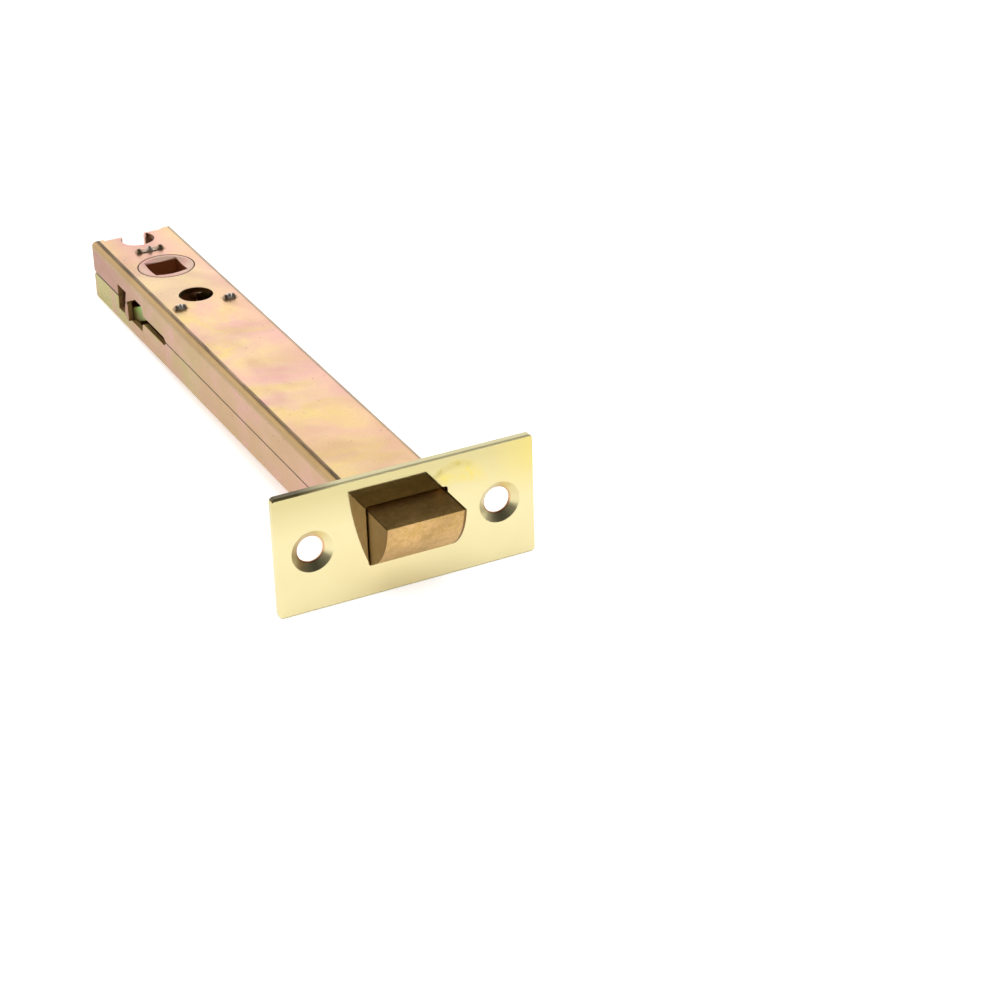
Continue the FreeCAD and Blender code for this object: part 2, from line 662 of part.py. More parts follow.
def build_yoke():
    """Folded steel yoke: a front bridge, two cranked arms along the walls and inward shelves as hooks."""
    body = new_body("yoke")
    leg_rear = f"({HOOK_FACE} + leg_length)"
    arm = [
        (BRIDGE_FRONT, "arm_low"), ("backset - 10.3", "arm_low"), ("backset - 8.7", "-crank_low"),
        (HOOK_FACE, "-crank_low - crank_rise"), (HOOK_FACE, YOKE_FLOOR),
        (leg_rear, YOKE_FLOOR), (leg_rear, "-crank_low - crank_rise + 1.6"),
        ("backset - 11.5", "arm_high"), (BRIDGE_FRONT, "arm_high"),
    ]
    inside = f"({YOKE_SIDE} - yoke_sheet)"
    pad(body, "right_arm", "YZ_Plane", inside, YOKE_SIDE, ("outline", arm))
    pad(body, "bridge", "XZ_Plane", BRIDGE_FRONT, BRIDGE_REAR,
        box_outline(f"-{YOKE_SIDE}", YOKE_SIDE, "-bridge_height / 2", "bridge_height / 2"))
    pad(body, "left_arm", "YZ_Plane", f"-{YOKE_SIDE}", f"-{inside}", ("outline", arm))
    for name, sign in (("left", "-"), ("right", "")):
        far_side = f"{sign}{YOKE_SIDE}"
        near_side = f"{sign}shelf_inner"
        left, right = (far_side, near_side) if sign else (near_side, far_side)
        pad(body, name + "_shelf", "XZ_Plane", HOOK_FACE, leg_rear,
            box_outline(left, right, YOKE_FLOOR, f"{YOKE_FLOOR} + yoke_sheet"))
    side = number(YOKE_SIDE)
    floor_height = number(YOKE_FLOOR)
    dress(body, "Fillet", "shelf_folds", "yoke_bend",
          lambda edge, box: flat_at(box, "Z", floor_height) and near(abs(box.XMin), side)
          and near(box.XMin, box.XMax) and box.YLength > 2)
    front_place = number(BRIDGE_FRONT)
    dress(body, "Fillet", "bridge_folds", "yoke_bend",
          lambda edge, box: near(abs(box.XMin), side) and near(box.XMin, box.XMax)
          and flat_at(box, "Y", front_place) and box.ZLength > 1)
    pocket(body, "bridge_hole", "XZ_Plane", BRIDGE_FRONT, BRIDGE_REAR,
           ("circles", [("0", "0", "rod_front / 2 + rod_gap")]))
    return body


def build_follower():
    """Sintered follower with a square hole, two journals in the case and two forward lugs."""
    body = new_body("follower")

    def ring(radius):
        return ("circles", [("0", "backset", radius)])

    pad(body, "hub", "XY_Plane", FLOOR, TOP, ring("hub_body / 2"))
    pad(body, "upper_journal", "XY_Plane", INNER_TOP, TOP, ring("journal / 2"))
    pad(body, "lower_journal", "XY_Plane", FLOOR, INNER_FLOOR, ring("journal / 2"))
    waist_low = f"({INNER_FLOOR} + fit_gap)"
    waist_high = f"({INNER_TOP} - fit_gap)"
    flange_low = f"({INNER_TOP} - fit_gap - hub_flange_thick)"
    pad(body, "top_flange", "XY_Plane", flange_low, waist_high, ring("hub_flange / 2"))
    for name, sign in (("left", "-"), ("right", "")):
        tip_u = f"{sign}lug_reach * cos(lug_angle * 1deg)"
        tip_v = "backset - lug_reach * sin(lug_angle * 1deg)"
        flank = [
            (f"{sign}hub_body / 3", f"{tip_v} + lug_tip"), (tip_u, f"{tip_v} + lug_tip"),
            (f"{tip_u} + {sign}lug_tip * 0.13", f"{tip_v} - lug_tip * 0.99"),
            (f"{sign}hub_body / 5", "backset - hub_body * 0.44"),
        ]
        if not sign:
            flank.reverse()
        pad(body, name + "_lug", "XY_Plane", waist_low, LUG_TOP, ("outline", flank))
        pad(body, name + "_lug_tip", "XY_Plane", waist_low, LUG_TOP, ("circles", [(tip_u, tip_v, "lug_tip")]))
    half = "spindle_square / 2"
    pocket(body, "square_hole", "XY_Plane", FLOOR, TOP,
           box_outline(f"-{half}", half, f"backset - {half}", f"backset + {half}"))
    top = number(TOP)
    narrow = "spindle_square / 2"
    wide = "spindle_square / 2 + sink_reach"
    cone_sink(body, "upper_square_sink", "XY_Plane", narrow, wide, "square_sink",
              ("0", "backset", f"{TOP} - square_sink"))
    cone_sink(body, "lower_square_sink", "XY_Plane", wide, narrow, "square_sink", ("0", "backset", FLOOR))
    journal = number("journal / 2")
    dress(body, "Chamfer", "journal_lead_in", "journal_lead",
          lambda edge, box: (flat_at(box, "Z", top) or flat_at(box, "Z", -top))
          and edge.Curve.TypeId == "Part::GeomCircle" and near(edge.Curve.Radius, journal))
    return body


def build_all():
    """Build every piece in the order in which the latch is put together."""
    pieces = [
        build_case_half("lower"),
        build_abutment_plate(),
        build_rear_spacer(),
        build_follower(),
        build_yoke(),
        build_latch_bolt(),
        build_tail_rod(),
        build_tail_pin(),
        build_collar(),
        build_clip(),
        build_spring("bolt_spring", COLLAR_REAR, "bolt_spring_mean", "bolt_spring_wire", "bolt_spring_turns"),
        build_spring("return_spring", BRIDGE_REAR, "return_spring_mean", "return_spring_wire",
                     "return_spring_turns"),
        build_case_half("upper"),
        build_faceplate(),
    ]
    return pieces


def check_and_export(pieces):
    """Stop if anything failed, and write each piece to its own file."""
    document.recompute()
    for item in document.Objects:
        if "Invalid" in item.State or "Error" in item.State:
            raise RuntimeError(f"{item.Name} failed")
    os.makedirs("parts", exist_ok=True)
    for piece in pieces:
        shape = piece.Shape
        if shape.isNull() or not shape.isValid():
            raise RuntimeError(f"{piece.Label} has no sound shape")
        if len(shape.Solids) != 1:
            raise RuntimeError(f"{piece.Label} has {len(shape.Solids)} solids")
        shape.exportStep(f"parts/{piece.Label}.step")
        print(piece.Label, round(shape.Volume, 1))


check_and_export(build_all())
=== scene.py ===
import math

import bpy
from bpy.props import FloatProperty, FloatVectorProperty, IntProperty, PointerProperty
from mathutils import Matrix, Vector


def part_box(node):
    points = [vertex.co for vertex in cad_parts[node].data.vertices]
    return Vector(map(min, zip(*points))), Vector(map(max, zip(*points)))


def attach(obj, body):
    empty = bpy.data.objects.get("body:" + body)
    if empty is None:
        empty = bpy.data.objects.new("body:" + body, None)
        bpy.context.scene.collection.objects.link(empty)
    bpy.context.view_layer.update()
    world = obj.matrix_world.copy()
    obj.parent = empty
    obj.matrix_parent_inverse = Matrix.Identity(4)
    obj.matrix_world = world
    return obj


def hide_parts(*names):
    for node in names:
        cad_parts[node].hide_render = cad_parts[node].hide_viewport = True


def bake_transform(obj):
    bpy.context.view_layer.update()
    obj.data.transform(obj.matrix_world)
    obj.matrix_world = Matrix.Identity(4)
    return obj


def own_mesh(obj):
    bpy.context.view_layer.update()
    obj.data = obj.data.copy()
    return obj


bl_info = {
    "name": "Tubular Door Latch",
    "version": (1, 0, 0),
    "blender": (4, 5, 0),
    "location": "View3D > Sidebar > Latch",
    "description": "Finishes and stages a tubular door latch around its packed solids",
    "category": "Object",
}

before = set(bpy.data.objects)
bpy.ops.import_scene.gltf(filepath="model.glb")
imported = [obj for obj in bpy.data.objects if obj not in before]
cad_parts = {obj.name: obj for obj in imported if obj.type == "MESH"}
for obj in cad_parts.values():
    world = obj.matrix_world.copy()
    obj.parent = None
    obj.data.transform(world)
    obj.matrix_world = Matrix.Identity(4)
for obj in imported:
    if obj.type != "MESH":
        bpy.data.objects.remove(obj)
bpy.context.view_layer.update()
MM = 0.001

# The case, measured from its middle: what counts as its outer skin, its inside and its cut edges.
WALL_X = 10.1 * MM
SKIN_X = 10.12 * MM
SKIN_Z = 7.27 * MM
INNER_X = 9.02 * MM
BEND_X = 8.7 * MM
BEND_Z = 5.5 * MM
FLANGE_Y = 1.5 * MM
REAR_TABS_Y = 152.0 * MM
ZINC_METALLIC = 0.92

# The plainer film around its holes, the painted highlight and painted shade along its long folds,
# and its seam, each with half its width.
HOLES_Y, HOLES_REACH = 120 * MM, 17 * MM
FOLD_Z = 5.4 * MM
CROWN_X, CROWN_REACH = 9.75 * MM, 0.9 * MM
SHOULDER_X, SHOULDER_REACH = 9.1 * MM, 0.56 * MM
FOLD_SHIFT = 0.15 * MM
SEAM_Z, SEAM_REACH = -0.5 * MM, 0.34 * MM

# The faceplate: its edges, its screw holes and the stain right of the window.
PLATE_EDGE_Z = 13.16 * MM
RUBBED_Z = 13.1 * MM
GLINT_Z = 13.0 * MM
PLATE_LEFT_X, GLINT_REACH = -28.7 * MM, 15.0 * MM
SCREW_X = 20.75 * MM
SCREW_RIM, SCREW_RIM_REACH = 2.85 * MM, 0.35 * MM
SINK_RADIUS = 4.58 * MM
ARCH_X, ARCH_BEND = 11.5 * MM, 260.0
STAIN_X, STAIN_REACH = 12.0 * MM, 6.5 * MM
STAIN_Z, STAIN_HEIGHT = 9.4 * MM, 3.0 * MM
RIM_Z, RIM_HEIGHT = 11.0 * MM, 1.1 * MM

# The bolt, the follower and the tenons.
BOLT_FLANK_X = 8.4 * MM
SPINDLE_Y = 130.5 * MM
JOURNAL_RING = 6.5 * MM
JOURNAL_FACE_Z = 6.85 * MM
FRONT_TENON_X, FRONT_RIDGE = 6.05 * MM, 1.0 * MM
MIDDLE_RIDGE = 1.4 * MM
STAKED_Z = 7.37 * MM

# The springs: mean diameter, wire and turns, with the flat share of a turn at each end.
RETURN_COIL = (10.0 * MM, 1.4 * MM, 6.5)
BOLT_COIL = (6.6 * MM, 0.8 * MM, 9.0)
FLAT_TURN = 0.75
WIRE_SIDES = 14

# Samples for the light on rounded edges.
EDGE_SAMPLES = 6

# The studio: where the latch touches the floor, and where lamp, walls and camera stand.
PLATE_FOOT = Vector((0, -0.8 * MM, -13.53 * MM))
CASE_FOOT = Vector((0, 153.2 * MM, -7.38 * MM))
FAR_FLOOR_START, FAR_FLOOR_FULL = 0.35, 0.9
WALL_TURN = (-0.45, 0.1)
CEILING_TURN = (0.50, 0.64)
LAMP_PLACE, LAMP_TARGET, LAMP_SIZE = (-0.10, -0.36, 0.76), (0, 0.02, 0), (1.1, 1.1)
CAMERA_PLACE = (-204.281 * MM, -458.993 * MM, 273.545 * MM)
CAMERA_ROWS = (
    (0.890243, -0.454655, -0.027488),
    (-0.236447, -0.409711, -0.881039),
    (0.389307, 0.790838, -0.472244),
)
SENSOR_WIDTH = 36
CLIP = (0.01, 20)


def colour_property(name, description, default):
    """A colour that the user may change."""
    return FloatVectorProperty(
        name=name, description=description, default=default, size=3, subtype="COLOR", min=0, max=1
    )


def length_property(name, description, default):
    """A length that the user may change, in metres."""
    return FloatProperty(
        name=name, description=description, default=default, min=0, precision=5,
        subtype="DISTANCE", unit="LENGTH",
    )


def share_property(name, description, default):
    """A share from nothing to all."""
    return FloatProperty(
        name=name, description=description, default=default, min=0, max=1, subtype="FACTOR",
    )


def plain_property(name, description, default):
    """A number that the user may change."""
    return FloatProperty(name=name, description=description, default=default, min=0)


class LatchCaseFinish(bpy.types.PropertyGroup):
    """Yellow zinc plate on the two halves of the case."""

    peach: colour_property("Peach", "Main colour of the plated top", (0.90, 0.60, 0.38))
    rose: colour_property("Rose", "Pink clouds on the top", (0.91, 0.50, 0.43))
    straw: colour_property("Straw", "Yellow clouds on the top", (0.88, 0.64, 0.23))
    sand: colour_property("Sand", "Plain film around the holes", (0.80, 0.59, 0.35))
    # Painted shade: tan, blush and olive are darker than the top's colours, laid over the walls'
    # own film tints.
    tan: colour_property("Tan", "Main colour of the side walls", (0.60, 0.38, 0.195))
    blush: colour_property("Blush", "Pink clouds on the side walls", (0.66, 0.345, 0.26))
    olive: colour_property("Olive", "Green clouds on the side walls", (0.50, 0.45, 0.12))
    mauve: colour_property("Mauve", "Dark pink at the upper walls' rear", (0.45, 0.195, 0.145))
    # Painted highlight: fold_tan is the band on the folds' crowns; it also tints the fine grain.
    fold_tan: colour_property("Fold tan", "Crown of the long folds", (0.47, 0.30, 0.125))
    # Painted shade: fold_brown is the dark line beside the long folds and the ring round the
    # follower's faces; it also colours the seam and the dirt specks.
    fold_brown: colour_property("Fold brown", "Line beside the long folds", (0.095, 0.052, 0.024))
    sheared: colour_property("Sheared edge", "Cut edges of the side windows", (0.30, 0.17, 0.06))
    # Painted shade: the dark brown painted on the case's inner faces.
    inside: colour_property("Inside", "Oily film inside the case", (0.13, 0.055, 0.02))
    roughness: share_property("Roughness", "Roughness of the plated sheet", 0.30)
    cloud_size: length_property("Cloud size", "Width of one cloud of colour", 0.013)


class LatchBrassFinish(bpy.types.PropertyGroup):
    """Polished brass on the faceplate."""

    pale: colour_property("Pale brass", "Colour of the polished face", (0.90, 0.79, 0.45))
    # deep also paints shade on the upper part of the face.
    deep: colour_property("Deep brass", "Colour of its darker clouds", (0.66, 0.57, 0.27))
    heat: colour_property("Heat stain", "Yellow stain right of the window", (0.86, 0.70, 0.16))
    edge: colour_property("Edge", "Colour of the plate's cut edges", (0.66, 0.59, 0.33))
    burnt: colour_property("Burnt rim", "Darker rim of the stain", (0.46, 0.36, 0.07))
    shade: colour_property("Dark glint", "Left end of the plate's top edge", (0.10, 0.08, 0.03))
    copper: colour_property("Copper", "Colour of the holes' worn rims", (0.80, 0.42, 0.20))
    roughness: share_property("Roughness", "Roughness of the polished face", 0.06)


class LatchBoltFinish(bpy.types.PropertyGroup):
    """Sintered bronze on the bolt."""

    face: colour_property("Face", "Main colour of the bolt", (0.66, 0.42, 0.14))
    speckle: colour_property("Speckle", "Colour of the lighter grains", (0.80, 0.52, 0.23))
    # The pore colour also paints shade on the bolt's side faces.
    pore_and_flank_shade: colour_property("Pore", "Colour of the pores", (0.16, 0.085, 0.025))
    roughness: share_property("Roughness", "Roughness of the pressed metal", 0.36)


class LatchInnerFinish(bpy.types.PropertyGroup):
    """Pieces inside the case."""

    green: colour_property("Green", "Colour of the yoke's green zinc", (0.30, 0.66, 0.09))
    # Painted shade on the yoke's lower legs.
    leg_shade: colour_property("Oily", "Colour of the yoke's dark lower legs", (0.20, 0.07, 0.03))
    # Painted shade inside the follower's square hole.
    bore_shade: colour_property("Bore", "Colour of the follower's square hole", (0.34, 0.10, 0.03))
    # Painted highlight on the tenons' ridges, and painted shade on their swollen ends.
    bright: colour_property("Bright steel", "Punched crowns of the tenons", (0.93, 0.88, 0.80))
    shaded_steel: colour_property("Dull steel", "Worn steel of the tenons", (0.42, 0.30, 0.20))
    hub: colour_property("Follower", "Colour of the follower's film", (0.86, 0.60, 0.46))
    wire: colour_property("Spring wire", "Colour of the springs", (0.34, 0.33, 0.32))
    coil_steps: IntProperty(
        name="Coil steps", description="Steps in one turn of a spring", default=32, min=8
    )


class LatchStage(bpy.types.PropertyGroup):
    """Camera, floor and lamps."""

    lens: plain_property("Lens", "Focal length of the camera, in millimetres", 102.345)
    floor_reach: length_property("Floor reach", "Half the width of the floor", 3.0)
    floor_white: share_property("Floor white", "How light the floor is", 0.88)
    floor_glow: share_property("Floor glow", "White that the floor adds for the eye", 0.45)
    far_glow: share_property("Far glow", "White that the floor's far end adds for the eye", 0.6)
    mirror_glow: share_property("Mirror glow", "White that the floor adds in reflections", 0.21)
    softbox: plain_property("Softbox", "Power of the overhead lamp, in watts", 9.5)
    wall: plain_property("Wall", "Level of the white wall all round", 1.36)
    ceiling: share_property("Ceiling", "Level of the ceiling", 0.16)
    near_side: share_property("Near side", "Level of the wall on the viewer's side", 0.11)


class Finish:
    """One node-built material, with short words for the nodes it uses."""

    def __init__(self, name, metallic, roughness):
        self.material = bpy.data.materials.new(name)
        self.material.use_nodes = True
        self.tree = self.material.node_tree
        self.shader = self.tree.nodes["Principled BSDF"]
        self.shader.inputs["Metallic"].default_value = metallic
        self.shader.inputs["Roughness"].default_value = roughness
        self.place = self.tree.nodes.new("ShaderNodeTexCoord").outputs["Object"]

    def link(self, source, target):
        """Join an output to an input."""
        self.tree.links.new(source, target)

    def stretched(self, scale):
        """Object coordinates, scaled differently along each axis."""
        node = self.tree.nodes.new("ShaderNodeMapping")
        node.inputs["Scale"].default_value = scale
        self.link(self.place, node.inputs["Vector"])
        return node.outputs["Vector"]

    def noise(self, scale, detail=3.0, roughness=0.55, distortion=0.0, vector=None):
        """Cloudy values between nothing and one."""
        node = self.tree.nodes.new("ShaderNodeTexNoise")
        node.inputs["Scale"].default_value = scale
        node.inputs["Detail"].default_value = detail
        node.inputs["Roughness"].default_value = roughness
        node.inputs["Distortion"].default_value = distortion
        self.link(vector or self.place, node.inputs["Vector"])
        return node.outputs["Fac"]

    def cells(self, scale):
        """Distance to scattered points."""
        node = self.tree.nodes.new("ShaderNodeTexVoronoi")
        node.inputs["Scale"].default_value = scale
        self.link(self.place, node.inputs["Vector"])
        return node.outputs["Distance"]

    def ramp(self, value, stops):
        """Colours spread over a value."""
        node = self.tree.nodes.new("ShaderNodeValToRGB")
        points = node.color_ramp.elements
        while len(points) < len(stops):
            points.new(0.5)
        for point, (place, colour) in zip(points, stops):
            point.position = place
            level = (colour, colour, colour) if isinstance(colour, (int, float)) else tuple(colour)
            point.color = (*level, 1)
        self.link(value, node.inputs["Fac"])
        return node.outputs["Color"]

    def calculate(self, operation, *values, clamp=False):
        """One sum on plain numbers or node outputs."""
        node = self.tree.nodes.new("ShaderNodeMath")
        node.operation = operation
        node.use_clamp = clamp
        for socket, value in zip(node.inputs, values):
            if isinstance(value, (int, float)):
                socket.default_value = value
            else:
                self.link(value, socket)
        return node.outputs["Value"]

    def times(self, first, second, clamp=False):
        """One value multiplied by another."""
        return self.calculate("MULTIPLY", first, second, clamp=clamp)

    def above(self, value, level):
        """One where a value is over a level."""
        return self.calculate("GREATER_THAN", value, level)

    def below(self, value, level):
        """One where a value is under a level."""
        return self.calculate("LESS_THAN", value, level)

    def either(self, first, second):
        """The larger of two values."""
        return self.calculate("MAXIMUM", first, second)

    def size(self, value):
        """A value without its sign."""
        return self.calculate("ABSOLUTE", value)

    def distance(self, first, second):
        """How far a point lies from an axis, from its two offsets."""
        squares = self.calculate("ADD", self.times(first, first), self.times(second, second))
        return self.calculate("SQRT", squares)

    def mix(self, factor, first, second):
        """One colour laid over another."""
        node = self.tree.nodes.new("ShaderNodeMix")
        node.data_type = "RGBA"
        for name, value in (("Factor_Float", factor), ("A_Color", first), ("B_Color", second)):
            socket = next(s for s in node.inputs if s.identifier == name)
            if isinstance(value, bpy.types.NodeSocket):
                self.link(value, socket)
            elif name == "Factor_Float":
                socket.default_value = value
            else:
                level = (value,) * 3 if isinstance(value, (int, float)) else tuple(value)
                socket.default_value = (*level, 1)
        return next(s for s in node.outputs if s.identifier == "Result_Color")

    def axes(self):
        """The three object coordinates one by one."""
        node = self.tree.nodes.new("ShaderNodeSeparateXYZ")
        self.link(self.place, node.inputs["Vector"])
        return node.outputs["X"], node.outputs["Y"], node.outputs["Z"]

    def band(self, value, centre, half_width):
        """One at a place along a value, and nothing further off than the half width."""
        away = self.size(self.calculate("SUBTRACT", value, centre))
        share = self.calculate("DIVIDE", away, half_width)
        return self.calculate("SUBTRACT", 1.0, share, clamp=True)

    def colour(self, socket):
        """Set the surface's colour."""
        self.link(socket, self.shader.inputs["Base Color"])

    def rough(self, socket):
        """Set the surface's roughness."""
        self.link(socket, self.shader.inputs["Roughness"])

    def relief(self, height, distance, strength, edge):
        """Fine relief, and edges rounded in the light by a small radius."""
        node = self.tree.nodes.new("ShaderNodeBump")
        node.inputs["Strength"].default_value = strength
        node.inputs["Distance"].default_value = distance
        self.link(height, node.inputs["Height"])
        rounded = self.tree.nodes.new("ShaderNodeBevel")
        rounded.samples = EDGE_SAMPLES
        rounded.inputs["Radius"].default_value = edge
        self.link(rounded.outputs["Normal"], node.inputs["Normal"])
        self.link(node.outputs["Normal"], self.shader.inputs["Normal"])

    def give(self, *names):
        """Put the finish on CAD nodes by name."""
        for name in names:
            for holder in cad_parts[name].material_slots:
                holder.material = self.material


def zinc_skin(finish, look, axes, drift, film):
    """Clouds on top and bottom: pink at the rear, plainer at the holes, yellower at the ends."""
    x, y, _ = axes
    warm_stops = [(0.34, look.rose), (0.46, look.peach), (0.54, look.straw), (0.68, look.rose)]
    warm = finish.ramp(drift, warm_stops)
    thin = finish.ramp(film, [(0.36, look.straw), (0.50, look.peach), (0.64, look.rose)])
    skin = finish.mix(0.34, warm, thin)
    rear = finish.ramp(y, [(0.130, 0.0), (0.140, 0.92)])
    pinker = finish.mix(finish.ramp(x, [(0.0, 0.45), (0.006, 0.1)]), look.rose, look.blush)
    skin = finish.mix(rear, skin, finish.mix(0.18, pinker, thin))
    holes = finish.times(finish.band(y, HOLES_Y, HOLES_REACH), 1.6, clamp=True)
    plainer = finish.mix(0.22, look.sand, thin)
    skin = finish.mix(finish.times(holes, 0.85), skin, plainer)
    skin = finish.mix(finish.ramp(x, [(0.003, 0.0), (0.009, 0.6)]), skin, look.rose)
    corner = finish.times(finish.ramp(finish.size(x), [(0.0066, 0.0), (0.0088, 0.9)]),
                          finish.ramp(y, [(0.128, 0.0), (0.146, 1.0)]))
    skin = finish.mix(corner, skin, look.straw)
    return finish.mix(finish.ramp(y, [(0.015, 0.35), (0.05, 0.0)]), skin, look.straw)


def zinc_flank(finish, look, y, drift, film, lower):
    """Clouds on the side walls, darker than the top's as painted shade: pink in front, greener
    behind, and dark pink up at the rear.
    """
    greener = finish.ramp(y, [(0.05, 0.15), (0.13, 0.9 if lower else 0.35)])
    patch = finish.ramp(drift, [(0.42, 0.0), (0.56, 1.0)])
    # Painted shade: the side walls take the darker wall colours.
    shaded_flank = finish.ramp(film, [(0.36, look.blush), (0.52, look.tan), (0.66, look.tan)])
    shaded_flank = finish.mix(finish.times(patch, greener), shaded_flank, look.olive)
    shaded_flank = finish.mix(finish.ramp(y, [(0.01, 0.5), (0.07, 0.0)]), shaded_flank, look.blush)
    if not lower:
        shaded_flank = finish.mix(finish.ramp(y, [(0.105, 0.0), (0.142, 0.85)]), shaded_flank, look.mauve)
    return shaded_flank


def zinc_folds(finish, look, axes, wall, body):
    """Painted highlight on the crown of the upper long folds, a painted shade line beside it, and
    the seam between the halves.
    """
    x, y, z = axes
    outside = finish.above(z, FOLD_Z)
    along = finish.stretched((1.0, 0.2, 1.0))
    ragged = finish.ramp(finish.noise(260, 4, 0.65, 0.3, along), [(0.3, 0.5), (0.6, 1.0)])
    # Painted highlight along the crown of each fold.
    crown_highlight = finish.times(finish.band(finish.size(x), CROWN_X, CROWN_REACH), 1.8, clamp=True)
    body = finish.mix(finish.times(crown_highlight, outside), body, look.fold_tan)
    # Painted shade in a dark line beside each fold, broken up by noise.
    sideways = finish.size(finish.calculate("SUBTRACT", x, FOLD_SHIFT))
    fold_shade = finish.times(finish.band(sideways, SHOULDER_X, SHOULDER_REACH), outside)
    fold_shade = finish.times(fold_shade, 2.3, clamp=True)
    fold_shade = finish.times(fold_shade, finish.ramp(x, [(0.0, 1.0), (0.002, 0.5)]))
    body = finish.mix(finish.times(fold_shade, ragged), body, look.fold_brown)

    seam = finish.times(finish.band(z, SEAM_Z, SEAM_REACH), wall)
    seam = finish.times(seam, finish.ramp(y, [(0.10, 0.9), (0.145, 1.8)]), clamp=True)
    return finish.mix(seam, body, look.fold_brown)


def zinc_case(name, look, lower):
    """Iridescent yellow zinc in clouds, browner on side walls as painted shade, with a painted
    highlight and a painted shade line along the folds, and painted shade in dark brown inside.
    """
    finish = Finish(name, ZINC_METALLIC, look.roughness)
    axes = finish.axes()
    x, y, z = axes
    across = finish.size(x)
    height = finish.size(z)
    cloud = 1 / look.cloud_size
    drift = finish.noise(cloud * 0.75, 3, 0.5, 0.9, finish.stretched((0.7, 0.8, 1.0)))
    film = finish.noise(cloud * 1.5, 4, 0.6, 0.7, finish.stretched((0.7, 0.65, 1.0)))

    wall = finish.above(across, WALL_X)
    body = finish.mix(wall, zinc_skin(finish, look, axes, drift, film),
                      zinc_flank(finish, look, y, drift, film, lower))
    body = zinc_folds(finish, look, axes, wall, body)

    specks = finish.ramp(finish.cells(560), [(0.05, 1.0), (0.15, 0.0)])
    few = finish.ramp(finish.noise(150, 2), [(0.53, 0.0), (0.62, 1.0)])
    dirt = finish.times(finish.times(specks, few), 0.7)
    body = finish.mix(dirt, body, look.fold_brown)
    drawn = finish.noise(900, 2, 0.5, 0.0, finish.stretched((0.05, 1.0, 1.0)))
    lines = finish.ramp(drawn, [(0.68, 0.0), (0.76, 1.0)])
    body = finish.mix(finish.times(lines, 0.10), body, look.tan)
    grain = finish.noise(2400, 2, 0.6)
    body = finish.mix(finish.ramp(grain, [(0.35, 0.10), (0.55, 0.0)]), body, look.fold_tan)

    # Painted shade: inner faces of the walls and the underside of the top are painted dark brown.
    deep = finish.times(finish.below(across, SKIN_X), finish.below(height, BEND_Z))
    under = finish.times(finish.below(height, SKIN_Z), finish.below(across, BEND_X))
    between_ends = finish.times(finish.below(y, REAR_TABS_Y), finish.above(y, FLANGE_Y))
    inside_shade = finish.times(finish.either(deep, under), between_ends)
    body = finish.mix(inside_shade, body, look.inside)
    sheared = finish.times(finish.times(deep, finish.above(across, INNER_X)), between_ends)
    body = finish.mix(sheared, body, look.sheared)
    finish.colour(body)
    bare = finish.calculate("SUBTRACT", ZINC_METALLIC, finish.times(sheared, 0.6))
    finish.link(bare, finish.shader.inputs["Metallic"])
    finish.rough(finish.ramp(film, [(0.3, look.roughness - 0.05), (0.7, look.roughness + 0.10)]))
    finish.relief(finish.mix(0.12, finish.noise(60, 1, 0.5), drawn), 0.00022, 0.25, 0.00018)
    return finish


def heat_stain(finish, look, x, z, body):
    """Arched stain right of the window with a darker rim at its upper left; also its strength."""
    arc = finish.times(finish.calculate("SUBTRACT", x, ARCH_X), 0.5)
    arc = finish.times(finish.times(arc, arc), ARCH_BEND)
    crest = finish.calculate("ADD", z, arc)
    spread = finish.times(finish.band(x, STAIN_X, STAIN_REACH),
                          finish.band(crest, STAIN_Z, STAIN_HEIGHT))
    ragged = finish.ramp(finish.noise(240, 4, 0.6, 0.8), [(0.4, 0.25), (0.6, 1.0)])
    stain = finish.times(finish.times(spread, 1.9, clamp=True), ragged)
    body = finish.mix(stain, body, look.heat)
    rim = finish.times(finish.band(crest, RIM_Z, RIM_HEIGHT), ragged)
    rim = finish.times(rim, 1.5, clamp=True)
    leftward = finish.times(finish.ramp(x, [(0.0065, 0.0), (0.0085, 1.0)]),
                            finish.ramp(x, [(0.012, 0.75), (0.0155, 0.0)]))
    return finish.mix(finish.times(rim, leftward), body, look.burnt), stain


